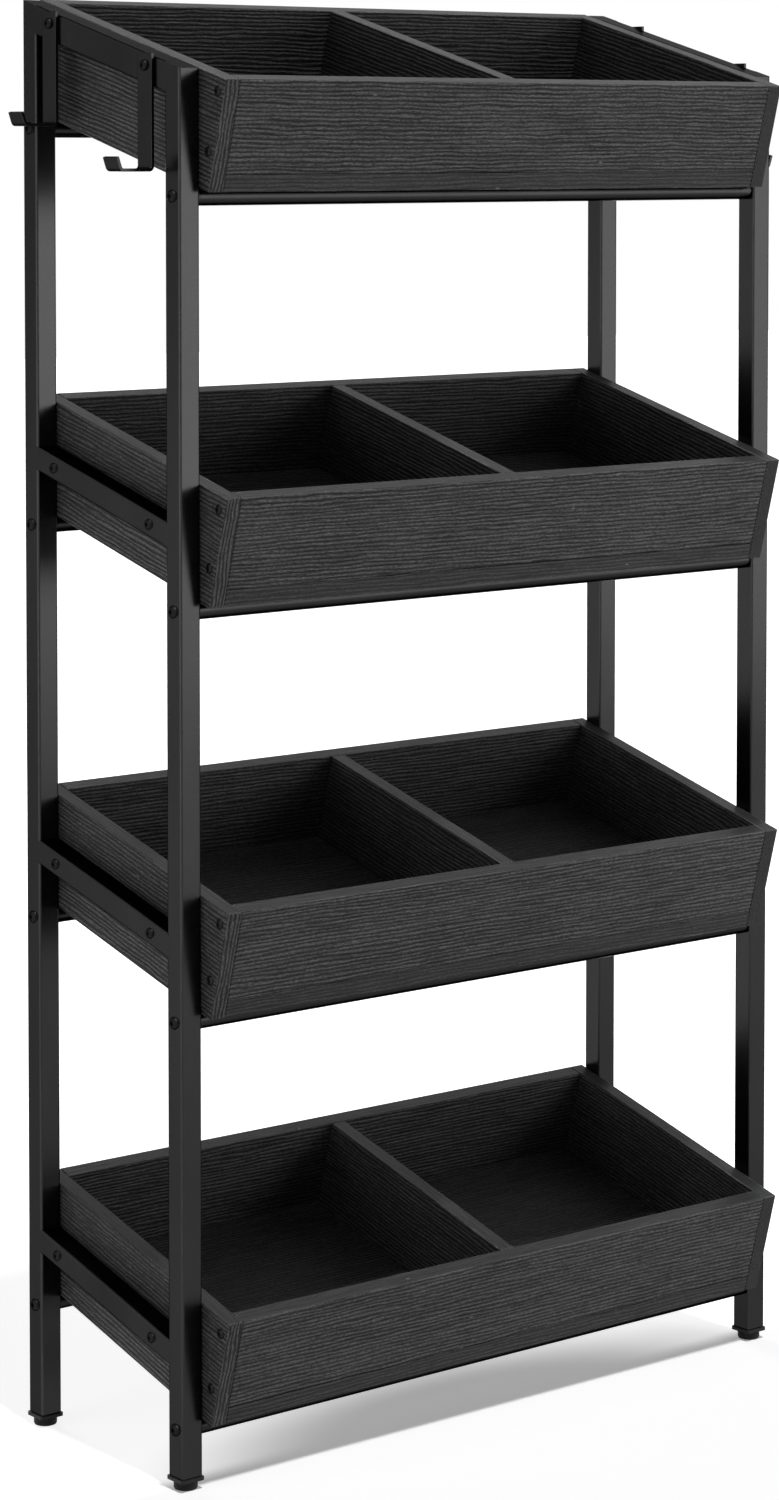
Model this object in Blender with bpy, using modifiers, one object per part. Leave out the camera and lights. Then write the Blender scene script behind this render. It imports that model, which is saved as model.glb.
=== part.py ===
"""Four-tier display rack: a black tube frame that carries four tilted wooden bins.

Axes: +X to the rack's right, -Y towards the shopper, +Z up. The origin is on the floor,
under the middle of the whole rack. Lengths are in metres.
"""
import math

import bmesh
import bpy
from mathutils import Matrix, Vector

# Whole rack
tilt = math.radians(15)
tier_count = 4
frame_width = 0.660
frame_depth = 0.226
rear_height = 1.222
lowest_bin_height = 0.0532
seat_gap = 0.0003
cut_overrun = 0.004

# Frame tubes
tube_width = 0.020
tube_wall = 0.0015
tube_corner_radius = 0.0016
tube_corner_steps = 2
round_profile_share = 0.5
top_rail_height = 0.024
rail_centre_above_bin_floor = 0.049

# Crossbars
crossbar_radius = 0.008
crossbar_wall = 0.0012
crossbar_insert_length = 0.015
crossbar_sides = 24

# Bins
bin_depth = 0.275
bin_height = 0.094
bin_front_overhang = 0.0354
board_thickness = 0.015
board_edge_ease = 0.0006

# Bolts that hold the crossbars
frame_bolt_radius = 0.003
frame_bolt_head_radius = 0.00525
frame_bolt_head_height = 0.0033
frame_bolt_socket_radius = 0.0022
frame_bolt_reach = 0.012

# Bolts that hold the bins, and the hooks on the top tier
bin_bolt_radius = 0.0025
bin_bolt_head_radius = 0.0045
bin_bolt_head_height = 0.0028
bin_bolt_socket_radius = 0.0017
bin_bolt_reach = 0.010
bin_bolt_spacing = 0.138
top_bin_bolt_drop = 0.009
bolt_sides = 12
bolt_socket_turn = math.radians(11)
bolt_crown_shares = ((0.56, 1.0), (0.84, 0.70), (1.0, 0.16))
bolt_socket_depth_share = 0.55
bolt_bed = 0.0003

# Side hooks
hook_width = 0.0195
hook_thickness = 0.0025
hook_end_above_bolt = 0.010
hook_drop = 0.096
hook_reach = 0.033
hook_lip_height = 0.0115
hook_lip_lean = 0.004
hook_bend_radius = 0.0045
hook_bend_steps = 4

# End caps and levelling feet
cap_flange_overlap = 0.0014
cap_flange_thickness = 0.003
cap_flange_corner_radius = 0.002
cap_plug_length = 0.014
foot_height = 0.0071
foot_radius = 0.010
foot_chamfer = 0.0008
foot_tread_round = 0.0018
foot_tread_shares = ((0, 1.0), (0.3, 0.3), (1.0, 0))
foot_socket_depth = 0.0045
foot_sides = 24
stud_radius = 0.004
stud_length = 0.030
stud_chamfer = 0.0006
stud_sides = 16

# Places worked out from the sizes
slope = math.tan(tilt)
bin_reach = bin_depth * math.cos(tilt) + bin_height * math.sin(tilt)
frame_front_y = bin_front_overhang - bin_reach / 2
frame_centre_y = frame_front_y + frame_depth / 2
frame_rear_y = frame_front_y + frame_depth
upright_offset_x = (frame_width - tube_width) / 2
upright_offset_y = (frame_depth - tube_width) / 2
bin_outer_half_width = frame_width / 2 - tube_width - seat_gap
bin_inner_half_width = bin_outer_half_width - board_thickness
bin_front_y = bin_height * math.sin(tilt) - bin_reach / 2
cap_bottom_z = foot_height + seat_gap
upright_bottom_z = cap_bottom_z + cap_flange_thickness + seat_gap

sides = {"left": -1, "right": 1}
ends = {"front": -1, "rear": 1}


def top_plane_z(y):
    """Height of the sloping plane that cuts the uprights and carries the top rails."""
    return rear_height - (frame_rear_y - y) * slope


def bin_floor_z(tier, y):
    """Height of a bin's underside at y; tier 1 is the top one, and the others are spaced evenly."""
    drop_to_lowest = top_plane_z(bin_front_y) - bin_height / math.cos(tilt) - lowest_bin_height
    tier_pitch = drop_to_lowest / max(tier_count - 1, 1)
    return top_plane_z(y) - bin_height / math.cos(tilt) - (tier - 1) * tier_pitch


def crossbar_z(tier, y):
    """Height of a crossbar's axis, so that the bin's underside rests on the bar."""
    return bin_floor_z(tier, y) - (crossbar_radius + seat_gap) / math.cos(tilt)


def rail_height(tier):
    return top_rail_height if tier == 1 else tube_width


def rail_centre_z(tier, y):
    """Height of a side rail's middle at y."""
    if tier == 1:
        return top_plane_z(y) - top_rail_height / 2 / math.cos(tilt)
    return bin_floor_z(tier, y) + rail_centre_above_bin_floor / math.cos(tilt)


def bin_bolt_z(tier, y):
    """Height of the bolts through a side rail; the top rail's lie nearer its upper edge."""
    if tier == 1:
        return top_plane_z(y) - top_bin_bolt_drop / math.cos(tilt)
    return rail_centre_z(tier, y)


def bin_bolt_ys():
    return [frame_centre_y + end * bin_bolt_spacing / 2 for end in ends.values()]


def clear_scene():
    for obj in list(bpy.data.objects):
        bpy.data.objects.remove(obj, do_unlink=True)


def new_collection(name):
    collection = bpy.data.collections.new(name)
    bpy.context.scene.collection.children.link(collection)
    return collection


def new_material(name, colour, roughness, metallic):
    material = bpy.data.materials.new(name)
    material.use_nodes = True
    shader = material.node_tree.nodes["Principled BSDF"]
    shader.inputs["Base Color"].default_value = (*colour, 1)
    shader.inputs["Roughness"].default_value = roughness
    shader.inputs["Metallic"].default_value = metallic
    return material


def add_object(name, bm, material=None):
    """A part when it has a material, and otherwise a cutter or a shape to be joined on."""
    mesh = bpy.data.meshes.new(name)
    bm.to_mesh(mesh)
    bm.free()
    obj = bpy.data.objects.new(name, mesh)
    if material:
        mesh.materials.append(material)
        rack_parts.objects.link(obj)
    else:
        cutters.objects.link(obj)
        obj.hide_render = True
        obj.display_type = "WIRE"
    return obj


def box(size, centre=(0, 0, 0)):
    bm = bmesh.new()
    bmesh.ops.create_cube(bm, size=1)
    bmesh.ops.scale(bm, vec=size, verts=bm.verts)
    bmesh.ops.translate(bm, vec=centre, verts=bm.verts)
    return bm


def edges_along(bm, axis):
    """Edges that run along one axis of a box that isn't sheared yet."""
    def spread(edge, other):
        return abs(edge.verts[0].co[other] - edge.verts[1].co[other])
    return [edge for edge in bm.edges
            if spread(edge, axis) > max(spread(edge, other) for other in range(3) if other != axis)]


def round_edges(bm, edges, radius, steps):
    bmesh.ops.bevel(bm, geom=edges, offset=radius, segments=steps, profile=round_profile_share,
                    affect="EDGES")


def shear_with_slope(bm, above=None):
    """Tilts level faces to the bins' slope; with above, only the corners higher than it."""
    for vert in bm.verts:
        if above is None or vert.co.z > above:
            vert.co.z += vert.co.y * slope


def turned(name, profile, steps, material=None, closed=False):
    """A shape turned about Z from (radius, height) points that run down its outer side."""
    bm = bmesh.new()
    verts = [bm.verts.new((radius, 0, height)) for radius, height in profile]
    for first, second in zip(verts, verts[1:]):
        bm.edges.new((first, second))
    if closed:
        bm.edges.new((verts[-1], verts[0]))
    obj = add_object(name, bm, material)
    screw = obj.modifiers.new("turn", "SCREW")
    screw.steps = steps
    screw.render_steps = steps
    screw.use_merge_vertices = True
    screw.merge_threshold = 0.00001
    screw.use_smooth_shade = True
    return obj


def combine(obj, other, operation):
    boolean = obj.modifiers.new(other.name, "BOOLEAN")
    boolean.operation = operation
    boolean.solver = "EXACT"
    boolean.object = other


def combine_group(obj, others, operation):
    """Joins or cuts several shapes in one go."""
    group = bpy.data.collections.new(f"{obj.name}_{operation.lower()}")
    cutters.children.link(group)
    for other in others:
        group.objects.link(other)
        cutters.objects.unlink(other)
    boolean = obj.modifiers.new(group.name, "BOOLEAN")
    boolean.operation = operation
    boolean.solver = "EXACT"
    boolean.operand_type = "COLLECTION"
    boolean.collection = group


def point_along_x(obj, side):
    """Turns a shape made along Z so that its top points outwards on the given side."""
    obj.rotation_euler = (0, side * math.pi / 2, 0)


def bolt(name, radius, length, head_radius, head_height, socket_radius):
    """A button-head bolt with a hexagon socket; its head sits on z = 0 and points up."""
    crown = [(head_radius * across, head_height * up) for across, up in bolt_crown_shares]
    profile = [(0, head_height), *crown, (head_radius, 0), (radius, 0), (radius, -length), (0, -length)]
    shape = turned(name, profile, bolt_sides)
    bm = bmesh.new()
    socket_depth = head_height * bolt_socket_depth_share
    bmesh.ops.create_cone(bm, cap_ends=True, segments=6, radius1=socket_radius, radius2=socket_radius,
                          depth=socket_depth + cut_overrun)
    middle = head_height - socket_depth + (socket_depth + cut_overrun) / 2
    bmesh.ops.rotate(bm, matrix=Matrix.Rotation(bolt_socket_turn, 3, "Z"), verts=bm.verts)
    bmesh.ops.translate(bm, vec=(0, 0, middle), verts=bm.verts)
    socket = add_object(name + "_socket", bm)
    socket.parent = shape
    combine(shape, socket, "DIFFERENCE")
    return shape


def bore(name, radius, length):
    """A cutter along Z, centred on its origin."""
    bm = bmesh.new()
    bmesh.ops.create_cone(bm, cap_ends=True, segments=bolt_sides, radius1=radius, radius2=radius, depth=length)
    return add_object(name, bm)


def make_upright(side_name, end_name):
    """A square tube with its top closed on the slope and its four crossbar bolts fitted."""
    side = sides[side_name]
    y = frame_centre_y + ends[end_name] * upright_offset_y
    name = f"upright_{end_name}_{side_name}"
    height = top_plane_z(y) - upright_bottom_z
    bm = box((tube_width, tube_width, height), (0, 0, height / 2))
    round_edges(bm, edges_along(bm, 2), tube_corner_radius, tube_corner_steps)
    shear_with_slope(bm, above=height / 2)
    upright = add_object(name, bm, frame_steel)
    upright.location = (side * upright_offset_x, y, upright_bottom_z)

    hollow_width = tube_width - 2 * tube_wall
    hollow_height = height - tube_wall / math.cos(tilt) + cut_overrun
    bm = box((hollow_width, hollow_width, hollow_height), (0, 0, hollow_height / 2 - cut_overrun))
    shear_with_slope(bm, above=height / 2)
    hollow = add_object(name + "_hollow", bm)
    hollow.parent = upright
    combine(upright, hollow, "DIFFERENCE")

    fasteners = []
    for tier in range(1, tier_count + 1):
        shank = tube_width + frame_bolt_reach + bolt_bed
        fastener = bolt(f"{name}_bolt_{tier}", frame_bolt_radius, shank, frame_bolt_head_radius,
                        frame_bolt_head_height, frame_bolt_socket_radius)
        point_along_x(fastener, side)
        fastener.parent = upright
        fastener.location = (side * (tube_width / 2 - bolt_bed), 0, crossbar_z(tier, y) - upright_bottom_z)
        fasteners.append(fastener)
    combine_group(upright, fasteners, "UNION")
    return upright


def make_side_rail(tier, side_name):
    """A sloping tube between two uprights, with the two bolts that hold the bin to it."""
    side = sides[side_name]
    name = f"side_rail_tier_{tier}_{side_name}"
    length = frame_depth - 2 * tube_width - 2 * seat_gap
    height = rail_height(tier)
    bm = box((tube_width, length, height / math.cos(tilt)))
    round_edges(bm, edges_along(bm, 1), tube_corner_radius, tube_corner_steps)
    shear_with_slope(bm)
    rail = add_object(name, bm, rail_steel)
    centre = Vector((side * upright_offset_x, frame_centre_y, rail_centre_z(tier, frame_centre_y)))
    rail.location = centre

    hollow_height = (height - 2 * tube_wall) / math.cos(tilt)
    bm = box((tube_width - 2 * tube_wall, length + cut_overrun, hollow_height))
    shear_with_slope(bm)
    hollow = add_object(name + "_hollow", bm)
    hollow.parent = rail
    combine(rail, hollow, "DIFFERENCE")

    stand_off = 2 * seat_gap + hook_thickness if tier == 1 else -bolt_bed
    for number, y in enumerate(bin_bolt_ys(), start=1):
        shank = stand_off + tube_width + bin_bolt_reach
        fastener = bolt(f"{name}_bolt_{number}", bin_bolt_radius, shank, bin_bolt_head_radius,
                        bin_bolt_head_height, bin_bolt_socket_radius)
        point_along_x(fastener, side)
        fastener.parent = rail
        place = Vector((side * (frame_width / 2 + stand_off), y, bin_bolt_z(tier, y)))
        fastener.location = place - centre
        combine(rail, fastener, "UNION")
    return rail


def make_crossbar(tier, end_name):
    """A round tube with a threaded insert in each end, turned about its own axis."""
    half = frame_width / 2 - tube_width - seat_gap
    bolt_bore = frame_bolt_radius + seat_gap
    tube_bore = crossbar_radius - crossbar_wall
    insert_end = half - crossbar_insert_length
    profile = [(crossbar_radius, half), (crossbar_radius, -half), (bolt_bore, -half),
               (bolt_bore, -insert_end), (tube_bore, -insert_end), (tube_bore, insert_end),
               (bolt_bore, insert_end), (bolt_bore, half)]
    bar = turned(f"crossbar_tier_{tier}_{end_name}", profile, crossbar_sides, crossbar_steel, closed=True)
    y = frame_centre_y + ends[end_name] * upright_offset_y
    point_along_x(bar, 1)
    bar.location = (0, y, crossbar_z(tier, y))
    return bar


def board(name, low, high, frame):
    """One board of a bin, between two corners in the bin's own tilted frame."""
    low = Vector(low)
    high = Vector(high)
    centre = (low + high) / 2
    bm = box(high - low)
    round_edges(bm, list(bm.edges), board_edge_ease, 1)
    piece = add_object(name, bm, bin_board)
    piece.parent = frame
    piece.location = centre
    return piece


def drill_for_bin_bolts(piece, tier, side):
    """Blind holes in a side board for the bolts that come through its rail."""
    depth = bin_bolt_reach + seat_gap
    for number, y in enumerate(bin_bolt_ys(), start=1):
        hole = bore(f"{piece.name}_hole_{number}", bin_bolt_radius + seat_gap, depth + cut_overrun)
        point_along_x(hole, side)
        outer_x = frame_width / 2 - tube_width
        middle = outer_x - depth + (depth + cut_overrun) / 2
        hole.location = (side * middle, y, bin_bolt_z(tier, y))
        combine(piece, hole, "DIFFERENCE")


def make_bin(tier):
    """Six boards: two sides over the ends of the others, and a divider in the middle."""
    frame = bpy.data.objects.new(f"bin_{tier}_frame", None)
    rack_parts.objects.link(frame)
    frame.location = (0, bin_front_y, bin_floor_z(tier, bin_front_y))
    frame.rotation_euler = (tilt, 0, 0)

    for side_name, side in sides.items():
        reach = sorted((side * bin_inner_half_width, side * bin_outer_half_width))
        piece = board(f"bin_{tier}_{side_name}_side", (reach[0], 0, 0), (reach[1], bin_depth, bin_height), frame)
        drill_for_bin_bolts(piece, tier, side)

    half = bin_inner_half_width - seat_gap
    floor_top = board_thickness + seat_gap
    board(f"bin_{tier}_bottom", (-half, 0, 0), (half, bin_depth, board_thickness), frame)
    board(f"bin_{tier}_front", (-half, 0, floor_top), (half, board_thickness, bin_height), frame)
    board(f"bin_{tier}_back", (-half, bin_depth - board_thickness, floor_top), (half, bin_depth, bin_height), frame)
    divider_start = board_thickness + seat_gap
    board(f"bin_{tier}_divider", (-board_thickness / 2, divider_start, floor_top),
          (board_thickness / 2, bin_depth - divider_start, bin_height), frame)


def bent_path(corners, radius, steps):
    """Points along a line of corners, with each inner corner turned into an arc."""
    corners = [Vector(corner) for corner in corners]
    points = [corners[0]]
    for before, corner, after in zip(corners, corners[1:], corners[2:]):
        inward = (before - corner).normalized()
        outward = (after - corner).normalized()
        half_angle = inward.angle(outward) / 2
        centre = corner + (inward + outward).normalized() * radius / math.sin(half_angle)
        start = corner + inward * radius / math.tan(half_angle) - centre
        end = corner + outward * radius / math.tan(half_angle) - centre
        for step in range(steps + 1):
            points.append(centre + start.slerp(end, step / steps) * radius)
    points.append(corners[-1])
    return points


def make_hook(side_name, end_name):
    """A flat strip that hangs from a top rail's bolt and ends in a tray with a lip."""
    side = sides[side_name]
    name = f"hook_{end_name}_{side_name}"
    y = frame_centre_y + ends[end_name] * bin_bolt_spacing / 2
    bolt_z = bin_bolt_z(1, y)
    corners = [(0, 0, hook_end_above_bolt), (0, 0, hook_end_above_bolt - hook_drop),
               (hook_reach, 0, hook_end_above_bolt - hook_drop),
               (hook_reach + hook_lip_lean, 0, hook_end_above_bolt - hook_drop + hook_lip_height)]
    bm = bmesh.new()
    half_width = side * hook_width / 2
    rows = []
    for point in bent_path(corners, hook_bend_radius, hook_bend_steps):
        rows.append([bm.verts.new((side * point.x, edge * half_width, point.z)) for edge in (-1, 1)])
    for row, following in zip(rows, rows[1:]):
        bm.faces.new((row[0], row[1], following[1], following[0]))
    hook = add_object(name, bm, hook_steel)
    hook.location = (side * (frame_width / 2 + seat_gap), y, bolt_z)
    solid = hook.modifiers.new("thickness", "SOLIDIFY")
    solid.thickness = hook_thickness
    solid.offset = -1
    solid.use_even_offset = True

    hole = bore(name + "_hole", bin_bolt_radius + seat_gap, hook_thickness + 2 * cut_overrun)
    point_along_x(hole, side)
    hole.parent = hook
    combine(hook, hole, "DIFFERENCE")
    return hook


def make_end_cap(side_name, end_name):
    """A flange under the upright with a plug inside it, threaded for the foot's stud."""
    name = f"end_cap_{end_name}_{side_name}"
    flange_width = tube_width + 2 * cap_flange_overlap
    bm = box((flange_width, flange_width, cap_flange_thickness), (0, 0, cap_flange_thickness / 2))
    round_edges(bm, edges_along(bm, 2), cap_flange_corner_radius, tube_corner_steps)
    cap = add_object(name, bm, cap_plastic)
    x = sides[side_name] * upright_offset_x
    y = frame_centre_y + ends[end_name] * upright_offset_y
    cap.location = (x, y, cap_bottom_z)

    plug_width = tube_width - 2 * tube_wall - 2 * seat_gap
    plug_height = cap_flange_thickness / 2 + cap_plug_length
    plug = add_object(name + "_plug", box((plug_width, plug_width, plug_height),
                                          (0, 0, cap_flange_thickness / 2 + plug_height / 2)))
    plug.parent = cap
    combine(cap, plug, "UNION")
    hole = bore(name + "_hole", stud_radius + seat_gap, 2 * (cap_flange_thickness + cap_plug_length) + cut_overrun)
    hole.parent = cap
    combine(cap, hole, "DIFFERENCE")
    return cap


def make_foot_pad(side_name, end_name):
    """The round foot, with a socket in which the stud's lower end turns."""
    socket_radius = stud_radius + seat_gap
    socket_floor = foot_height - foot_socket_depth
    tread = [(foot_radius - foot_tread_round * inward, foot_tread_round * up)
             for inward, up in foot_tread_shares]
    profile = [(0, socket_floor), (socket_radius, socket_floor), (socket_radius, foot_height),
               (foot_radius - foot_chamfer, foot_height), (foot_radius, foot_height - foot_chamfer),
               *tread, (0, 0)]
    pad = turned(f"foot_pad_{end_name}_{side_name}", profile, foot_sides, foot_plastic)
    y = frame_centre_y + ends[end_name] * upright_offset_y
    pad.location = (sides[side_name] * upright_offset_x, y, 0)
    return pad


def make_foot_stud(side_name, end_name):
    """The threaded stud that runs from the foot up into the end cap."""
    profile = [(0, stud_length), (stud_radius - stud_chamfer, stud_length),
               (stud_radius, stud_length - stud_chamfer), (stud_radius, stud_chamfer),
               (stud_radius - stud_chamfer, 0), (0, 0)]
    stud = turned(f"foot_stud_{end_name}_{side_name}", profile, stud_sides, stud_steel)
    y = frame_centre_y + ends[end_name] * upright_offset_y
    stud.location = (sides[side_name] * upright_offset_x, y, foot_height - foot_socket_depth + seat_gap)
    return stud


clear_scene()
rack_parts = new_collection("display_rack")
cutters = new_collection("cutters")

frame_steel = new_material("black_frame_steel", (0.030, 0.030, 0.032), 0.42, 0.0)
rail_steel = new_material("black_rail_steel", (0.030, 0.030, 0.032), 0.44, 0.0)
crossbar_steel = new_material("black_crossbar_steel", (0.030, 0.030, 0.032), 0.38, 0.0)
hook_steel = new_material("black_hook_steel", (0.028, 0.028, 0.030), 0.40, 0.0)
bin_board = new_material("black_grained_board", (0.040, 0.039, 0.038), 0.60, 0.0)
cap_plastic = new_material("black_cap_plastic", (0.020, 0.020, 0.020), 0.50, 0.0)
foot_plastic = new_material("black_foot_plastic", (0.018, 0.018, 0.018), 0.55, 0.0)
stud_steel = new_material("zinc_stud_steel", (0.55, 0.56, 0.58), 0.35, 1.0)

for end in ends:
    for side in sides:
        make_upright(side, end)
        make_end_cap(side, end)
        make_foot_pad(side, end)
        make_foot_stud(side, end)
        make_hook(side, end)

for tier in range(1, tier_count + 1):
    for side in sides:
        make_side_rail(tier, side)
    for end in ends:
        make_crossbar(tier, end)
    make_bin(tier)
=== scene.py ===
import math

import bpy
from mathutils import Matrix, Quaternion, Vector


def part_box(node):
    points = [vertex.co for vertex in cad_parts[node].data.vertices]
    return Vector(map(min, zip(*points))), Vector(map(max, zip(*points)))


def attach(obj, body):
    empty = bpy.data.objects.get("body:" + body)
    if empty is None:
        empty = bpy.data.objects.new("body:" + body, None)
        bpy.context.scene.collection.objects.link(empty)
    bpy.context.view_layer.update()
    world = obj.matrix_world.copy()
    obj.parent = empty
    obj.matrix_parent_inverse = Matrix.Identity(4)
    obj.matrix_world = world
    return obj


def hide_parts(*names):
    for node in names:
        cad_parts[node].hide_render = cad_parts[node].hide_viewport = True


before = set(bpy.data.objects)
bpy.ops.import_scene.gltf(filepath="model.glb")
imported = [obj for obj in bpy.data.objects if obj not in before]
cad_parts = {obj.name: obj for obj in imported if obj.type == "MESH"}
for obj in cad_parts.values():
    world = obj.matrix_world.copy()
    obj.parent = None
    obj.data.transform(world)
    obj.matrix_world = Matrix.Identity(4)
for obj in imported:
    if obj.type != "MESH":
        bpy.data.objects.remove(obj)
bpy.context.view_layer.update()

# The rack's own measures that the added pieces need
tilt = math.radians(15)
tiers = (1, 2, 3, 4)
side_signs = {"left": -1, "right": 1}
end_signs = {"front": -1, "rear": 1}
tube_width = 0.020
tube_corner_radius = 0.0016
top_rail_height = 0.024
bin_depth = 0.275
bin_height = 0.094
board_thickness = 0.015

# Where the screws and bolts sit; a side rail's box takes in its bolts' heads, so the rail's own
# face lies a little inside it
wood_screw_heights = (0.082, 0.032)
bolt_bed = 0.0003
rail_bolt_half_spacing = 0.069
rail_face_inside_box = 0.0028
top_rail_bolt_above_centre = 0.003 / math.cos(tilt)

# Their heads. The crown share says how far a head's top draws in; the hexagon socket is turned
# by an angle in radians, and the seed turns each whole head
head_sides = 32
head_rows = 7
socket_sides = 6
socket_turn = 0.1
turning_seed = 7
wood_screw_head = {"Head Radius": 0.0043, "Head Height": 0.0019, "Socket Radius": 0.0017,
                   "Socket Depth": 0.0012, "Crown Share": 0.72}
frame_bolt_head = {"Head Radius": 0.00535, "Head Height": 0.0034, "Socket Radius": 0.0019,
                   "Socket Depth": 0.0018, "Crown Share": 0.62}
rail_bolt_head = {"Head Radius": 0.0046, "Head Height": 0.0029, "Socket Radius": 0.00147,
                  "Socket Depth": 0.0015, "Crown Share": 0.62}

# Ground welds over the gaps between rails and uprights
joint_gap = 0.0003
weld_stand = 0.00005
weld_reach = 0.0030
weld_corner_steps = 4
weld_merge = 0.000001

# Thread of the studs
thread_pitch = 0.00125
thread_depth = 0.00072
thread_runout = 0.0008
stud_sides = 24
stud_rows = 168

# Brushed grain of the boards. A stretch says how often a noise repeats in a metre along the
# grain, across it and into the board; rows say by how many lines the noise shifts the pattern.
line_spacing = 0.0036
drift_stretch, drift_rows = (2.8, 15, 13), 3.0
waver_stretch, waver_rows = (22, 95, 40), 1.2
shiver_stretch, shiver_rows = (90, 260, 90), 0.28
swell_stretch, faintest_ridge = (22, 290, 120), 0.42
pore_stretch, pore_relief = (120, 1300, 500), 0.22
streak_stretch = (30, 520, 300)
patch_stretch = (9, 24, 24)
ridge_share, streak_share, patch_share = 0.74, 0.17, 0.09
sparkle_stretch, sparkle_low, sparkle_high = (330, 1300, 900), 0.4, 1.6
grain_depth = 0.0007

# Details of the boards' surface. Glint specks, painted highlights, sit in cells: their radius and
# rim are shares of a cell, and the rarity is the share of cells without one. The edge spots break
# up the painted edge glints.
# From the cosine on, a face counts as one that looks along an axis
glint_speck_stretch, glint_speck_rarity, glint_speck_strength = (26, 60, 60), 0.62, 0.7
glint_speck_radius, glint_speck_rim = 0.040, 0.070
band_stretch, band_relief = (30, 700, 700), 0.25
edge_spot_stretch = (22, 90, 90)
board_edge_reach = 0.0016
board_gloss = 0.13
end_grain_slant = 0.3
axis_cosine = 0.72

# Camera: the lens in millimetres, its shift as a share of the frame, turns in degrees
lens_length = 92.828
lens_shift = -0.27
camera_place = (-2.14561, -2.63300, 1.099286)
camera_looks_down = 2.959
camera_heading = -38.843

# Softboxes: name, place, aim, width, height, watts and roll
softboxes = (
    ("front_right_softbox", (1.94, -2.54, 0.90), (0, 0, 0.80), 1.8, 1.4, 24.5, math.radians(2)),
    ("left_fill", (-3.2, 0.2, 0.75), (0, 0, 0.65), 1.8, 1.4, 12, 0.0),
    ("rear_fill", (0.9, 3.3, 1.1), (0, 0, 0.7), 1.8, 1.6, 28, 0.0),
)

# Light from above, leaning a little to the front
ceiling_height = 3
ceiling_towards = (0.0, -0.36, 1)
ceiling_strength = 2.20
ceiling_spread = math.radians(7)

# Surroundings: the light that they give and the brightness that they show
room_light = 0.045
room_brightness = 1.0

# The floor's paint and glow; the glow is full behind and beside the rack, painted light that lifts
# the rack's shadow there
floor_reach = 14
floor_paint = 0.90
floor_glow = 0.25
shadow_lift_glow = 0.56

# The darkest part of the floor's shadow: a half ellipse under the rack's front edge, full in
# its core and gone at its rim, which are shares of its size
shadow_front = 0.10
shadow_front_fade = 0.03
shadow_half_width = 0.33
shadow_depth = 0.14
shadow_core, shadow_rim = 0.45, 1.15

# The duller, backlit strip of floor in front of the rack, measured from the rack's middle
strip_paint = 0.42
strip_glow = 0.40
strip_near, strip_near_fade = 0.14, 0.05
strip_far, strip_far_fade = 0.95, 0.25
strip_side, strip_side_end = 0.45, 0.75


# Camera

def place_camera():
    """A long lens at the rack's upper third, level enough that the uprights stay upright."""
    lens = bpy.data.cameras.new("photo_camera")
    lens.sensor_fit = "AUTO"
    lens.sensor_width = 36
    lens.lens = lens_length
    lens.shift_y = lens_shift
    lens.clip_start = 0.05
    lens.clip_end = 60
    camera = bpy.data.objects.new("photo_camera", lens)
    camera.location = camera_place
    camera.rotation_euler = (math.radians(90 - camera_looks_down), 0, math.radians(camera_heading))
    bpy.context.scene.collection.objects.link(camera)
    bpy.context.scene.camera = camera


# Node helpers

class Nodes:
    """Writes one node tree: add() makes a node, feeds its inputs and returns it."""

    def __init__(self, tree):
        self.tree = tree

    def add(self, kind, inputs=None, **settings):
        made = self.tree.nodes.new(kind)
        for name, value in settings.items():
            setattr(made, name, value)
        self.wire(made, inputs or {})
        return made

    def wire(self, node, inputs):
        for key, value in inputs.items():
            self.feed(node.inputs[key], value)

    def feed(self, socket, value):
        """Links a node or a socket, or sets a plain value."""
        if isinstance(value, bpy.types.Node):
            value = value.outputs[0]
        if isinstance(value, bpy.types.NodeSocket):
            self.tree.links.new(value, socket)
        else:
            socket.default_value = value

    def math(self, operation, first, second=0.0, third=0.0, clamp=False):
        return self.add("ShaderNodeMath", {0: first, 1: second, 2: third},
                        operation=operation, use_clamp=clamp)

    def times(self, first, second):
        """first * second"""
        return self.math("MULTIPLY", first, second)

    def plus_share(self, base, amount, share):
        """base + amount * share"""
        return self.math("MULTIPLY_ADD", amount, share, base)

    def separate(self, vector):
        return self.add("ShaderNodeSeparateXYZ", {0: vector})

    def combine(self, x=0.0, y=0.0, z=0.0):
        return self.add("ShaderNodeCombineXYZ", {0: x, 1: y, 2: z})

    def stretch(self, vector, scale):
        return self.add("ShaderNodeMapping", {"Vector": vector, "Scale": scale})

    def noise(self, vector, repeats, detail, roughness):
        """Noise that repeats so often in a metre; a tuple stretches it along the three axes."""
        if isinstance(repeats, tuple):
            vector = self.stretch(vector, repeats)
            repeats = 1.0
        return self.add("ShaderNodeTexNoise", {
            "Vector": vector, "Scale": repeats, "Detail": detail, "Roughness": roughness})

    def ramp(self, value, low, high, low_to=0.0, high_to=1.0, smooth=True):
        """Turns values from low to high into values from low_to to high_to."""
        return self.add("ShaderNodeMapRange", {0: value, 1: low, 2: high, 3: low_to, 4: high_to},
                        interpolation_type="SMOOTHSTEP" if smooth else "LINEAR")

    def mix(self, amount, first, second):
        """Blends two numbers: the first at 0, the second at 1."""
        return self.add("ShaderNodeMix", {0: amount, 2: first, 3: second})

    def tint(self, amount, first, second):
        """Blends two colours in the same way."""
        colours = {"Factor": amount, 6: first, 7: second}
        return self.add("ShaderNodeMix", colours, data_type="RGBA").outputs[2]

    def bump(self, height, distance, strength, extra=None):
        return self.add("ShaderNodeBump", {
            "Strength": strength, "Distance": distance, "Height": height, **(extra or {})})

    def rounded_normal(self, reach):
        """The face's normal, turned as if its edges were rounded to that radius."""
        return self.add("ShaderNodeBevel", {"Radius": reach}, samples=4)

    def place(self):
        """The point in the piece's own coordinates."""
        return self.add("ShaderNodeTexCoord").outputs["Object"]


def empty_material(name):
    material = bpy.data.materials.new(name)
    material.use_nodes = True
    material.node_tree.nodes.clear()
    return material, Nodes(material.node_tree)


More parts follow.
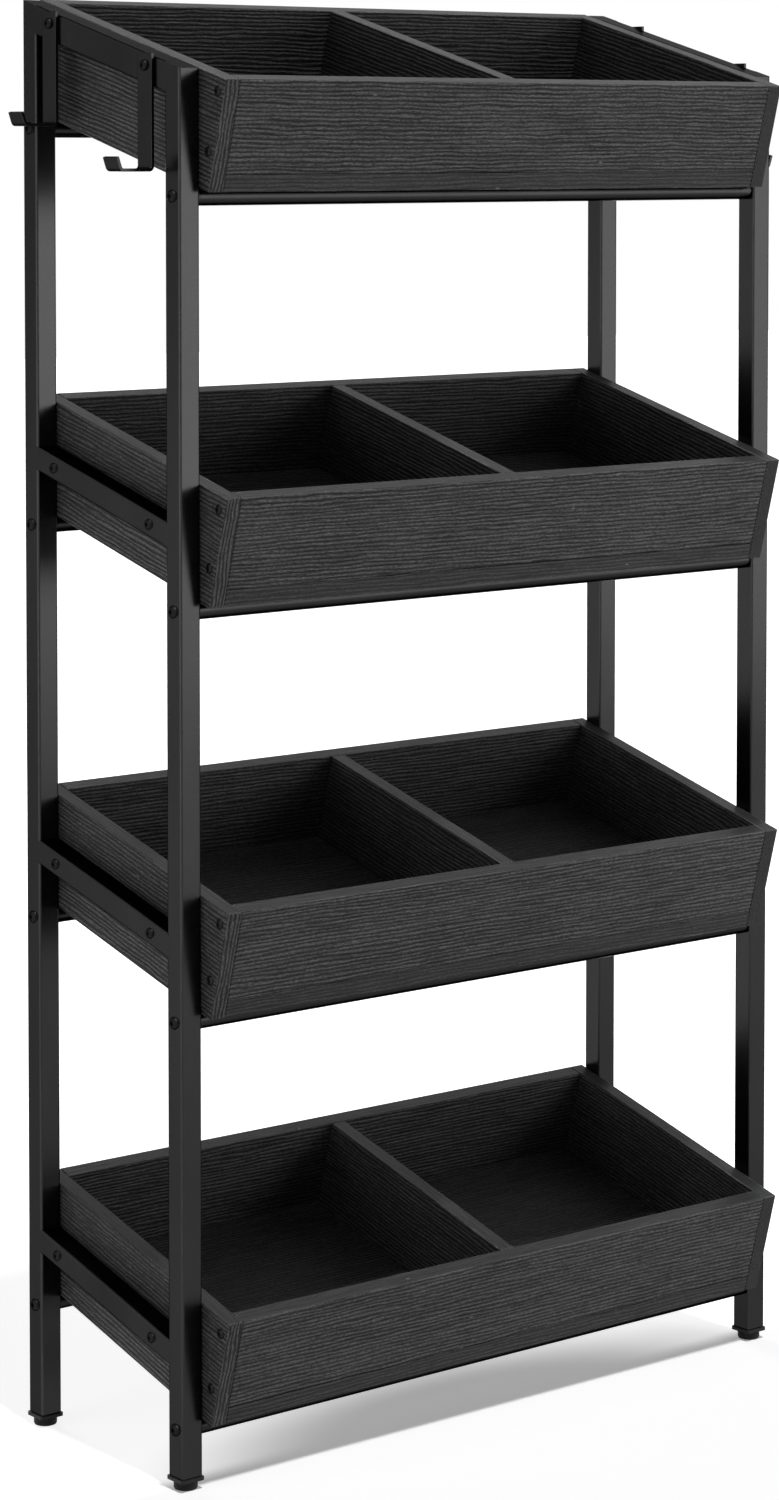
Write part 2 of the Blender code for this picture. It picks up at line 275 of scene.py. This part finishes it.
def new_finish(name):
    """A material with a bare shader, ready for its nodes."""
    material, n = empty_material(name)
    shader = n.add("ShaderNodeBsdfPrincipled")
    n.add("ShaderNodeOutputMaterial", {"Surface": shader})
    return material, n, shader


def grey(tone, warmth=0.0):
    """A grey of that tone; warmth leans it to red, and below zero to blue."""
    return (tone * (1 + warmth), tone, tone * (1 - warmth), 1)


def edge_mask(n, reach, edge_below, face_above, upward=False):
    """1 on edges, 0 on flat faces; it places painted edge highlights, wear and dark joints. The
    limits are cosines between the edge's rounded normal and the face's own. With upward, only the
    edges whose rounded normal turns up."""
    rounded = n.rounded_normal(reach)
    flat = n.add("ShaderNodeNewGeometry").outputs["True Normal"]
    match = n.add("ShaderNodeVectorMath", {0: rounded, 1: flat}, operation="DOT_PRODUCT")
    mask = n.ramp(match.outputs["Value"], edge_below, face_above, 1.0, 0.0)
    if upward:
        lift = n.separate(rounded).outputs["Z"]
        mask = n.times(mask, n.ramp(lift, 0.10, 0.40))
    return mask


# Grained board

def embossed_grain_group():
    """Brushed grain: Vector holds metres along the grain, across it and into the board."""
    group = bpy.data.node_groups.new("embossed_grain", "ShaderNodeTree")
    group.interface.new_socket("Vector", in_out="INPUT", socket_type="NodeSocketVector")
    group.interface.new_socket("Line Spacing", in_out="INPUT", socket_type="NodeSocketFloat")
    group.interface.new_socket("Relief", in_out="OUTPUT", socket_type="NodeSocketFloat")
    group.interface.new_socket("Tone", in_out="OUTPUT", socket_type="NodeSocketFloat")
    n = Nodes(group)
    inputs = n.add("NodeGroupInput")
    vector = inputs.outputs["Vector"]
    parts = n.separate(vector)

    # slow drift of the lines, then a shorter waver that the eye reads as wood
    row = n.math("DIVIDE", parts.outputs["Y"], inputs.outputs["Line Spacing"])
    row = n.plus_share(row, n.noise(vector, drift_stretch, detail=3.0, roughness=0.5), drift_rows)
    row = n.plus_share(row, n.noise(vector, waver_stretch, detail=2.0, roughness=0.5), waver_rows)
    row = n.plus_share(row, n.noise(vector, shiver_stretch, detail=1.0, roughness=0.5), shiver_rows)
    ridge = n.times(n.math("PINGPONG", row, 0.5), 2.0)
    ridge = n.ramp(ridge, 0.05, 0.92)

    # ridges swell and fade along their length, and fine pores run between them
    swell = n.noise(vector, swell_stretch, detail=3.0, roughness=0.65)
    ridge = n.times(ridge, n.ramp(swell, 0.30, 0.66, faintest_ridge, 1.0))
    pores = n.noise(vector, pore_stretch, detail=2.0, roughness=0.6)
    relief = n.plus_share(ridge, pores, pore_relief)

    # the tone follows the ridges, with streaks, patches and a fine sparkle
    streaks = n.noise(vector, streak_stretch, detail=2.0, roughness=0.6)
    patches = n.noise(vector, patch_stretch, detail=3.0, roughness=0.55)
    sparkle = n.noise(vector, sparkle_stretch, detail=1.0, roughness=0.5)
    tone = n.times(ridge, ridge_share)
    tone = n.plus_share(tone, n.ramp(streaks, 0.32, 0.72), streak_share)
    tone = n.plus_share(tone, n.ramp(patches, 0.30, 0.70), patch_share)
    tone = n.times(tone, n.ramp(sparkle, 0.30, 0.70, sparkle_low, sparkle_high))

    n.add("NodeGroupOutput", {"Relief": relief, "Tone": tone})
    return group


def in_bin_frame(n):
    """The point and the normal in the bins' own tilted frame: X across, Y back, Z up the wall."""
    place = n.add("ShaderNodeTexCoord")
    turn = {"Rotation": (-tilt, 0, 0)}
    point = n.add("ShaderNodeMapping", {"Vector": place.outputs["Object"], **turn})
    normal = n.add("ShaderNodeMapping", {"Vector": place.outputs["Normal"], **turn})
    return n.separate(point), n.separate(normal)


def faces_along(n, component):
    """1 on faces that look along one axis of the bin, 0 on the others."""
    return n.math("GREATER_THAN", n.math("ABSOLUTE", component), axis_cosine)


def board_finish(name, grain_axis, band_axis, band_share=1.0, lengthwise_ends=False,
                 plain_ends=False, upper_edge=0.55):
    """Black board with brushed grain along grain_axis, and a finer band glued on the faces that
    look along band_axis."""
    groove, ridge = grey(0.006), grey(0.125, 0.005)
    band_dark, band_light = grey(0.012, -0.03), grey(0.036, -0.03)
    glint_speck_colour, edge_colour = grey(0.20, 0.02), grey(upper_edge, 0.02)
    groove_roughness, ridge_roughness = 0.64, 0.42
    band_rough, band_smooth = 0.50, 0.42

    material, n, shader = new_finish(name)
    point, normal = in_bin_frame(n)
    x, y, z = point.outputs
    if grain_axis == "X":
        along, across, depth = x, n.math("ADD", y, z), n.math("SUBTRACT", y, z)
    else:
        along, across, depth = y, n.math("ADD", x, z), n.math("SUBTRACT", x, z)
    if lengthwise_ends:
        end = faces_along(n, normal.outputs["Y"])
        along = n.mix(end, along, z)
        across = n.mix(end, across, n.math("ADD", x, n.times(y, end_grain_slant)))
    vector = n.combine(along, across, depth)
    grain = n.add("ShaderNodeGroup", {"Vector": vector, "Line Spacing": line_spacing},
                  node_tree=grain_group)
    tone = grain.outputs["Tone"]
    colour = n.tint(tone, groove, ridge)

    # the band on the board's edges is smoother
    band = n.times(faces_along(n, normal.outputs[band_axis]), band_share)
    if plain_ends:
        band = n.math("MAXIMUM", band, end)
    brushed = n.ramp(n.noise(vector, band_stretch, detail=2.0, roughness=0.6), 0.25, 0.75)
    colour = n.tint(band, colour, n.tint(brushed, band_dark, band_light))
    relief = n.mix(band, grain.outputs["Relief"], n.times(brushed, band_relief))
    grain_matt = n.ramp(tone, 0.0, 1.0, groove_roughness, ridge_roughness, smooth=False)
    band_matt = n.ramp(brushed, 0.0, 1.0, band_rough, band_smooth, smooth=False)
    matt = n.mix(band, grain_matt, band_matt)

    # rare bright specks, painted highlights in the grain
    cells = n.add("ShaderNodeTexVoronoi", {"Vector": n.stretch(vector, glint_speck_stretch), "Scale": 1.0})
    glint_speck = n.ramp(cells.outputs["Distance"], glint_speck_radius, glint_speck_rim, 1.0, 0.0)
    chance = n.add("ShaderNodeSeparateColor", {0: cells.outputs["Color"]})
    glint_speck = n.times(glint_speck, n.math("GREATER_THAN", chance, glint_speck_rarity))
    colour = n.tint(n.times(glint_speck, glint_speck_strength), colour, glint_speck_colour)

    # painted highlight: upper edges lightened here and there, partly wear and partly painted
    # glints; in a joint the same edges are dark
    edge_highlight_and_wear = edge_mask(n, board_edge_reach, edge_below=0.70, face_above=0.985, upward=True)
    edge_spots = n.noise(vector, edge_spot_stretch, detail=4.0, roughness=0.8)
    edge_spots = n.ramp(edge_spots, 0.50, 0.64, 0.3, 1.0)
    colour = n.tint(n.times(edge_highlight_and_wear, edge_spots), colour, edge_colour)
    n.wire(shader, {"Base Color": colour, "Roughness": matt, "Specular IOR Level": board_gloss,
                    "Normal": n.bump(relief, grain_depth, 1.0)})
    return material


# Steel and plastic

def coated_steel(name, tone, roughness, edge_radius=0.0012, glare=0.25):
    """Powder coat: orange peel, faint cloudiness, edges a little lighter, partly wear and partly a
    painted highlight.
    """
    cloud_dark, cloud_light = grey(tone * 0.80), grey(tone * 1.22)
    speck_colour, rubbed_highlight_colour = grey(tone * 2.2), grey(tone * 3.6)
    peel_depth = 0.00006

    material, n, shader = new_finish(name)
    place = n.place()
    cloud = n.noise(place, (14, 14, 5), detail=4.0, roughness=0.6)
    speck = n.noise(place, 900.0, detail=2.0, roughness=0.6)
    peel = n.noise(place, 620.0, detail=2.0, roughness=0.5)
    edge_highlight_and_wear = edge_mask(n, edge_radius, edge_below=0.62, face_above=0.97)
    scuffs = n.noise(place, (420, 420, 60), detail=3.0, roughness=0.6)
    scuffs = n.ramp(scuffs, 0.42, 0.68)
    colour = n.tint(cloud, cloud_dark, cloud_light)
    colour = n.tint(n.ramp(speck, 0.60, 0.74, 0.0, 0.35), colour, speck_colour)
    # edges lighter in scuffed patches: partly wear, partly a painted highlight
    colour = n.tint(n.times(edge_highlight_and_wear, scuffs), colour, rubbed_highlight_colour)
    matt = n.ramp(cloud, 0.25, 0.75, roughness - 0.03, roughness + 0.04, smooth=False)
    rounded = n.rounded_normal(edge_radius)
    n.wire(shader, {"Base Color": colour, "Roughness": matt, "Metallic": 1.0,
                    "Specular Tint": grey(glare),
                    "Normal": n.bump(peel, peel_depth, 0.22, {"Normal": rounded})})
    return material


def moulded_plastic(name, tone, roughness):
    """Fine spark-eroded texture, matt, with paler edges painted on as a highlight."""
    cloud_dark, cloud_light, edge_colour = grey(tone * 0.8), grey(tone * 1.3), grey(tone * 3)
    pebble_depth = 0.00008
    pale_edge, moulded_radius = 0.0006, 0.0014

    material, n, shader = new_finish(name)
    place = n.place()
    pebble = n.noise(place, 1500.0, detail=3.0, roughness=0.6)
    cloud = n.noise(place, 90.0, detail=3.0, roughness=0.6)
    edge_highlight_and_wear = edge_mask(n, pale_edge, edge_below=0.60, face_above=0.96)
    colour = n.tint(cloud, cloud_dark, cloud_light)
    # paler edges: a painted highlight
    colour = n.tint(n.times(edge_highlight_and_wear, 0.6), colour, edge_colour)
    matt = n.ramp(pebble, 0.3, 0.7, roughness - 0.05, roughness + 0.08, smooth=False)
    rounded = n.rounded_normal(moulded_radius)
    n.wire(shader, {"Base Color": colour, "Roughness": matt, "Specular IOR Level": 0.15,
                    "Normal": n.bump(pebble, pebble_depth, 0.35, {"Normal": rounded})})
    return material


def zinc_finish(name):
    """Bright zinc on the studs, with fine turning marks."""
    cloud_dark, cloud_light = (0.46, 0.47, 0.49, 1), (0.64, 0.65, 0.66, 1)
    turning_depth = 0.00004

    material, n, shader = new_finish(name)
    place = n.place()
    turning = n.noise(place, (200, 200, 4000), detail=2.0, roughness=0.5)
    cloud = n.noise(place, 160.0, detail=3.0, roughness=0.6)
    n.wire(shader, {"Base Color": n.tint(cloud, cloud_dark, cloud_light), "Metallic": 1.0,
                    "Roughness": n.ramp(cloud, 0.3, 0.7, 0.26, 0.42, smooth=False),
                    "Normal": n.bump(turning, turning_depth, 0.3)})
    return material


# Geometry trees of the added pieces

def geometry_tree(name, sizes):
    """An empty geometry tree with a named input for each size, and one for the finish."""
    tree = bpy.data.node_groups.new(name, "GeometryNodeTree")
    tree.interface.new_socket("Geometry", in_out="INPUT", socket_type="NodeSocketGeometry")
    tree.interface.new_socket("Geometry", in_out="OUTPUT", socket_type="NodeSocketGeometry")
    for size in sizes:
        tree.interface.new_socket(size, in_out="INPUT", socket_type="NodeSocketFloat")
    tree.interface.new_socket("Finish", in_out="INPUT", socket_type="NodeSocketMaterial")
    n = Nodes(tree)
    return tree, n, n.add("NodeGroupInput")


def put_on_points(n, given, shape, placing=None):
    """The tree's end: one shape on each point, made real and given its material."""
    points = n.add("GeometryNodeMeshToPoints", {"Mesh": given.outputs["Geometry"]})
    copies = n.add("GeometryNodeInstanceOnPoints", {
        "Points": points, "Instance": shape, **(placing or {})})
    real = n.add("GeometryNodeRealizeInstances", {"Geometry": copies})
    finished = n.add("GeometryNodeSetMaterial", {
        "Geometry": real, "Material": given.outputs["Finish"]})
    n.add("NodeGroupOutput", {"Geometry": finished})


def rod(n, sides, rows, radius, depth):
    """A capped cylinder around the origin, with rows of faces along its length."""
    made = n.add("GeometryNodeMeshCylinder", {
        "Vertices": sides, "Side Segments": rows, "Fill Segments": 1,
        "Radius": radius, "Depth": depth}, fill_type="NGON")
    return made.outputs["Mesh"]


def moved(n, shape, x=0.0, y=0.0, z=0.0, turn=(0, 0, 0)):
    """The shape turned about the origin, then moved."""
    return n.add("GeometryNodeTransform", {
        "Geometry": shape, "Translation": n.combine(x, y, z), "Rotation": turn})


def drawn_in(n, shape, spot, share):
    """The shape with every point moved to a share of its distance from the Z axis."""
    factors = n.combine(share, share, 1.0)
    return n.add("GeometryNodeSetPosition", {
        "Geometry": shape,
        "Position": n.add("ShaderNodeVectorMath", {0: spot, 1: factors}, operation="MULTIPLY")})


def fastener_tree():
    """Button heads with a hexagon socket, one on each point, facing away from the rack's middle."""
    tree, n, given = geometry_tree("button_heads", (
        "Head Radius", "Head Height", "Socket Radius", "Socket Depth", "Crown Share"))
    height = given.outputs["Head Height"]
    stem = rod(n, head_sides, head_rows, given.outputs["Head Radius"], height)
    raised = moved(n, stem, z=n.times(height, 0.5))

    # the stem's rows draw in towards the top like a crown
    spot = n.add("GeometryNodeInputPosition")
    level = n.math("DIVIDE", n.separate(spot).outputs["Z"], height)
    bulge = n.times(n.times(level, level), given.outputs["Crown Share"])
    crown = drawn_in(n, raised, spot, n.math("SQRT", n.math("SUBTRACT", 1.0, bulge)))

    # the hexagon socket is cut out of it
    key_length = n.times(given.outputs["Socket Depth"], 2.0)
    key = rod(n, socket_sides, 1, given.outputs["Socket Radius"], key_length)
    key = moved(n, key, z=height, turn=(0, 0, socket_turn))
    head = n.add("GeometryNodeMeshBoolean", {"Mesh 1": crown, "Mesh 2": key},
                 operation="DIFFERENCE", solver="EXACT")

    # one head on each point, along X away from the middle, each turned by its own amount
    outwards = n.math("SIGN", n.separate(n.add("GeometryNodeInputPosition")).outputs["X"])
    facing = n.add("FunctionNodeAlignRotationToVector", {"Vector": n.combine(outwards)}, axis="Z")
    turn = n.add("FunctionNodeRandomValue", {2: 0.0, 3: math.tau, "Seed": turning_seed},
                 data_type="FLOAT")
    spin = n.add("FunctionNodeAxisAngleToRotation", {"Axis": (0, 0, 1), "Angle": turn.outputs[1]})
    turned = n.add("FunctionNodeRotateRotation", {"Rotation": facing, "Rotate By": spin},
                   rotation_space="LOCAL")
    put_on_points(n, given, head, {"Rotation": turned})
    return tree


def weld_tree():
    """A short sleeve of the rail's own rounded profile on each point, flush with the tubes."""
    tree, n, given = geometry_tree("ground_welds", (
        "Weld Width", "Weld Height", "Corner Radius", "Weld Length", "Slope"))
    outline = n.add("GeometryNodeCurvePrimitiveQuadrilateral", {
        "Width": given.outputs["Weld Width"], "Height": given.outputs["Weld Height"]})
    outline = n.add("GeometryNodeFilletCurve", {
        "Curve": outline, "Radius": given.outputs["Corner Radius"],
        "Count": weld_corner_steps}, mode="POLY")
    face = n.add("GeometryNodeFillCurve", {"Curve": outline}, mode="NGONS")
    body = n.add("GeometryNodeExtrudeMesh", {
        "Mesh": face, "Offset Scale": given.outputs["Weld Length"],
        "Individual": False}, mode="FACES")
    back = n.add("GeometryNodeFlipFaces", {"Mesh": face})
    both = n.add("GeometryNodeJoinGeometry")
    n.feed(both.inputs[0], body)
    n.feed(both.inputs[0], back)
    sleeve = n.add("GeometryNodeMergeByDistance", {"Geometry": both, "Distance": weld_merge})
    sleeve = moved(n, sleeve, y=n.times(given.outputs["Weld Length"], 0.5),
                   turn=(math.pi / 2, 0, 0))

    # the sleeve leans with the rail
    back_by = n.separate(n.add("GeometryNodeInputPosition")).outputs["Y"]
    lift = n.combine(z=n.times(back_by, given.outputs["Slope"]))
    sleeve = n.add("GeometryNodeSetPosition", {"Geometry": sleeve, "Offset": lift})
    put_on_points(n, given, sleeve)
    return tree


def stud_tree():
    """A stud with a rolled thread, standing on each point."""
    tree, n, given = geometry_tree("threaded_studs", (
        "Stud Radius", "Stud Length", "Thread Pitch", "Thread Depth"))
    radius, length = given.outputs["Stud Radius"], given.outputs["Stud Length"]
    half_length = n.times(length, 0.5)
    stem = rod(n, stud_sides, stud_rows, radius, length)
    spot = n.add("GeometryNodeInputPosition")
    x, y, z = n.separate(spot).outputs
    turn = n.math("DIVIDE", n.math("ARCTAN2", y, x), math.tau)
    rows = n.math("SUBTRACT", n.math("DIVIDE", z, given.outputs["Thread Pitch"]), turn)
    groove = n.times(n.math("PINGPONG", rows, 0.5), 2.0)

    # the thread runs out at both ends, where the stud is chamfered
    end = n.math("SUBTRACT", half_length, n.math("ABSOLUTE", z))
    cut = n.math("MAXIMUM", groove, n.ramp(end, 0.0, thread_runout, 1.0, 0.0, smooth=False))
    share = n.math("DIVIDE", n.times(cut, given.outputs["Thread Depth"]), radius)
    thread = drawn_in(n, stem, spot, n.math("SUBTRACT", 1.0, share))
    put_on_points(n, given, moved(n, thread, z=half_length))
    return tree


def grow(name, points, tree, sizes, body):
    """Runs a geometry tree on a set of points and keeps its result as a plain mesh."""
    mesh = bpy.data.meshes.new(name + "_points")
    mesh.from_pydata([tuple(point) for point in points], [], [])
    seedling = bpy.data.objects.new(name + "_points", mesh)
    bpy.context.scene.collection.objects.link(seedling)
    modifier = seedling.modifiers.new("grow", "NODES")
    modifier.node_group = tree
    for item in tree.interface.items_tree:
        if item.item_type == "SOCKET" and item.in_out == "INPUT" and item.name in sizes:
            modifier[item.identifier] = sizes[item.name]
    bpy.context.view_layer.update()
    evaluated = seedling.evaluated_get(bpy.context.evaluated_depsgraph_get())
    grown = bpy.data.meshes.new_from_object(evaluated)
    grown.name = name
    grown.materials.clear()
    grown.materials.append(sizes["Finish"])
    bpy.data.objects.remove(seedling, do_unlink=True)
    piece = bpy.data.objects.new(name, grown)
    bpy.context.scene.collection.objects.link(piece)
    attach(piece, body)
    return piece


# Where the added pieces sit

def bin_point(tier, x, back, up):
    """A point given in a bin's own tilted frame, from its lower front corner."""
    low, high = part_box(f"bin_{tier}_left_side")
    front_y = low[1] + bin_height * math.sin(tilt)
    return Vector((x, front_y + back * math.cos(tilt) - up * math.sin(tilt),
                   low[2] + back * math.sin(tilt) + up * math.cos(tilt)))


def wood_screw_points():
    """Two screws at each end of each side board, into the front and back boards' ends."""
    points = []
    for tier in tiers:
        for side, sign in side_signs.items():
            low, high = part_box(f"bin_{tier}_{side}_side")
            face = low[0] if sign < 0 else high[0]
            for back in (board_thickness / 2, bin_depth - board_thickness / 2):
                for up in wood_screw_heights:
                    points.append(bin_point(tier, face, back, up))
    return points


def upright_face(side):
    """X of the uprights' outer faces; the bolt heads stand out from it."""
    low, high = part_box(f"end_cap_front_{side}")
    middle = (low[0] + high[0]) / 2
    return middle + side_signs[side] * tube_width / 2


def frame_bolt_points():
    """One bolt on each upright's outer face at the height of each crossbar's axis."""
    points = []
    for tier in tiers:
        for end in end_signs:
            low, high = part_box(f"crossbar_tier_{tier}_{end}")
            y, z = (low[1] + high[1]) / 2, (low[2] + high[2]) / 2
            for side, sign in side_signs.items():
                points.append((upright_face(side) - sign * bolt_bed, y, z))
    return points


def rail_bolt_points():
    """Two bolts through each side rail; the top ones also hold the hooks."""
    points = []
    for tier in tiers:
        for side, sign in side_signs.items():
            low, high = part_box(f"side_rail_tier_{tier}_{side}")
            middle_y, middle_z = (low[1] + high[1]) / 2, (low[2] + high[2]) / 2
            seat = (high[0] if sign > 0 else low[0]) - sign * rail_face_inside_box
            lift = top_rail_bolt_above_centre if tier == 1 else 0
            for way in end_signs.values():
                shift = way * rail_bolt_half_spacing
                points.append((seat, middle_y + shift, middle_z + lift + shift * math.tan(tilt)))
    return points


def weld_points(in_tiers):
    """The middle of each joint between a side rail and an upright, on the rail's own slope."""
    points = []
    for tier in in_tiers:
        for side, sign in side_signs.items():
            low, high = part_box(f"side_rail_tier_{tier}_{side}")
            x = upright_face(side) - sign * tube_width / 2
            middle_y, middle_z = (low[1] + high[1]) / 2, (low[2] + high[2]) / 2
            for way in end_signs.values():
                shift = way * ((high[1] - low[1]) / 2 + joint_gap / 2)
                points.append((x, middle_y + shift, middle_z + shift * math.tan(tilt)))
    return points


# Studio

def seen_rays(n):
    """1 for rays that show the background, straight or mirrored, 0 for light on the rack."""
    path = n.add("ShaderNodeLightPath")
    seen = n.math("ADD", path.outputs["Is Camera Ray"], path.outputs["Is Glossy Ray"])
    return n.math("ADD", seen, path.outputs["Is Transmission Ray"], clamp=True)


def place_surroundings():
    """Surroundings that are seen white but hardly light the rack themselves."""
    bpy.context.scene.view_settings.view_transform = "Standard"
    world = bpy.data.worlds.new("studio")
    bpy.context.scene.world = world
    world.use_nodes = True
    world.node_tree.nodes.clear()
    n = Nodes(world.node_tree)
    strength = n.ramp(seen_rays(n), 0.0, 1.0, room_light, room_brightness, smooth=False)
    surround = n.add("ShaderNodeBackground", {"Color": grey(1), "Strength": strength})
    n.add("ShaderNodeOutputWorld", {"Surface": surround})


def floor_finish():
    """Pale matt paint with a glow that only rays which show the floor can see."""
    material, n = empty_material("studio_floor")
    place = n.place()
    x, y = n.separate(place).outputs[:2]

    # a backlit strip before the rack looks as white as the rest, but throws less light up at
    # the lowest bin
    strip = n.times(n.ramp(y, -strip_far, strip_far_fade - strip_far),
                    n.ramp(y, -strip_near - strip_near_fade, -strip_near, 1.0, 0.0))
    beside = n.ramp(n.math("ABSOLUTE", x), strip_side, strip_side_end, 1.0, 0.0)
    strip = n.times(strip, beside)
    colour = n.tint(strip, grey(floor_paint), grey(strip_paint))
    paint = n.add("ShaderNodeBsdfDiffuse", {"Color": colour})

    # painted light: the glow lifts the rack's shadow behind and beside it, not under its front
    spread = n.add("ShaderNodeMapping", {
        "Vector": place, "Location": (0, shadow_front / shadow_depth, 0),
        "Scale": (1 / shadow_half_width, 1 / shadow_depth, 0)})
    away = n.add("ShaderNodeVectorMath", {0: spread}, operation="LENGTH").outputs["Value"]
    behind = n.ramp(y, -shadow_front, shadow_front_fade - shadow_front)
    shadow_lift = n.times(n.ramp(away, shadow_core, shadow_rim), behind)
    shine = n.plus_share(n.plus_share(floor_glow, shadow_lift, shadow_lift_glow), strip, strip_glow)
    glow = n.add("ShaderNodeEmission", {"Color": grey(1), "Strength": n.times(seen_rays(n), shine)})
    surface = n.add("ShaderNodeAddShader", {0: paint, 1: glow})
    n.add("ShaderNodeOutputMaterial", {"Surface": surface})
    return material


def place_floor():
    """A wide flat floor, which belongs to the studio and not to the rack."""
    mesh = bpy.data.meshes.new("studio_floor")
    corners = [(-floor_reach, -floor_reach, 0), (floor_reach, -floor_reach, 0),
               (floor_reach, floor_reach, 0), (-floor_reach, floor_reach, 0)]
    mesh.from_pydata(corners, [], [(0, 1, 2, 3)])
    mesh.materials.append(floor_finish())
    floor = bpy.data.objects.new("studio_floor", mesh)
    bpy.context.scene.collection.objects.link(floor)


def place_softbox(name, place, aim, width, height, watts, roll):
    """A rectangular lamp that faces its aim; roll turns it about that line."""
    light = bpy.data.lights.new(name, "AREA")
    light.shape = "RECTANGLE"
    light.size = width
    light.size_y = height
    light.energy = watts
    lamp = bpy.data.objects.new(name, light)
    lamp.location = place
    facing = (Vector(aim) - Vector(place)).to_track_quat("-Z", "Y")
    lamp.rotation_euler = (facing @ Quaternion((0, 0, 1), roll)).to_euler()
    bpy.context.scene.collection.objects.link(lamp)


def place_ceiling_light():
    """Even light from above, as under a wide diffuser: the floor stays white, the shadow short."""
    light = bpy.data.lights.new("ceiling_light", "SUN")
    light.energy = ceiling_strength
    light.angle = ceiling_spread
    lamp = bpy.data.objects.new("ceiling_light", light)
    lamp.location = (0, 0, ceiling_height)
    lamp.rotation_euler = Vector(ceiling_towards).to_track_quat("Z", "Y").to_euler()
    bpy.context.scene.collection.objects.link(lamp)


# The scene is put together

place_camera()
place_surroundings()
place_floor()
for softbox in softboxes:
    place_softbox(*softbox)
place_ceiling_light()

grain_group = embossed_grain_group()
finishes = {
    "frame_steel": coated_steel("black_powder_coat_uprights", tone=0.030, roughness=0.23),
    "rail_steel": coated_steel("black_powder_coat_rails", tone=0.030, roughness=0.23),
    # the crossbars' coat is a darker copy of the frame's: painted shade for their place under the
    # bins
    "crossbar_steel": coated_steel("black_powder_coat_crossbars", tone=0.024, roughness=0.14,
                                   edge_radius=0.003, glare=0.22),
    "hook_steel": coated_steel("black_powder_coat_hooks", tone=0.030, roughness=0.30,
                               edge_radius=0.0008),
    "cap_plastic": moulded_plastic("black_moulded_caps", tone=0.013, roughness=0.46),
    "foot_plastic": moulded_plastic("black_moulded_feet", tone=0.008, roughness=0.60),
    "stud_steel": zinc_finish("bright_zinc_studs"),
}
boards_along_x = board_finish("black_grained_board_front_and_back", "X", "Z")
floor_board = board_finish("black_grained_board_bottom", "X", "Y", band_share=0.6, upper_edge=0.0)
side_board = board_finish("black_grained_board_sides", "Y", "Z", lengthwise_ends=True)
right_side_board = board_finish("black_grained_board_right_sides", "Y", "Z",
                                lengthwise_ends=True, plain_ends=True)
bolt_finish = coated_steel("black_oxide_bolt_heads", tone=0.016, roughness=0.40,
                           edge_radius=0.0004)
weld_finish = coated_steel("black_powder_coat_welds", tone=0.030, roughness=0.23,
                           edge_radius=0.0001)

slot_of_start = {"upright": "frame_steel", "side_rail": "rail_steel",
                 "crossbar": "crossbar_steel", "hook": "hook_steel", "end_cap": "cap_plastic",
                 "foot_pad": "foot_plastic", "foot_stud": "stud_steel"}


def finish_for(name):
    """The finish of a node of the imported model, from the node's name."""
    if name.startswith("bin_"):
        if name.endswith("_bottom"):
            return floor_board
        if name.endswith("_right_side"):
            return right_side_board
        return side_board if name.endswith(("_side", "_divider")) else boards_along_x
    for start, slot in slot_of_start.items():
        if name.startswith(start):
            return finishes[slot]
    raise ValueError(name)


for name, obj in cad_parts.items():
    for slot in obj.material_slots:
        slot.material = finish_for(name)

heads = fastener_tree()
grow("wood_screws", wood_screw_points(), heads,
     {**wood_screw_head, "Finish": bolt_finish}, "rack")
grow("frame_bolt_heads", frame_bolt_points(), heads,
     {**frame_bolt_head, "Finish": bolt_finish}, "rack")
grow("rail_bolt_heads", rail_bolt_points(), heads,
     {**rail_bolt_head, "Finish": bolt_finish}, "rack")

welds = weld_tree()
for name, in_tiers, height in (("top_rail_welds", (1,), top_rail_height),
                               ("lower_rail_welds", (2, 3, 4), tube_width)):
    grow(name, weld_points(in_tiers), welds,
         {"Weld Width": tube_width + 2 * weld_stand,
          "Weld Height": height / math.cos(tilt) + 2 * weld_stand,
          "Corner Radius": tube_corner_radius, "Weld Length": joint_gap + 2 * weld_reach,
          "Slope": math.tan(tilt), "Finish": weld_finish}, "rack")

threads = stud_tree()
for side in side_signs:
    for end in end_signs:
        node = f"foot_stud_{end}_{side}"
        low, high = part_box(node)
        foot = ((low[0] + high[0]) / 2, (low[1] + high[1]) / 2, low[2])
        stud = grow(f"threaded_stud_{end}_{side}", [foot], threads,
                    {"Stud Radius": (high[0] - low[0]) / 2, "Stud Length": high[2] - low[2],
                     "Thread Pitch": thread_pitch, "Thread Depth": thread_depth,
                     "Finish": finishes["stud_steel"]}, f"foot_{end}_{side}")
        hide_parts(node)
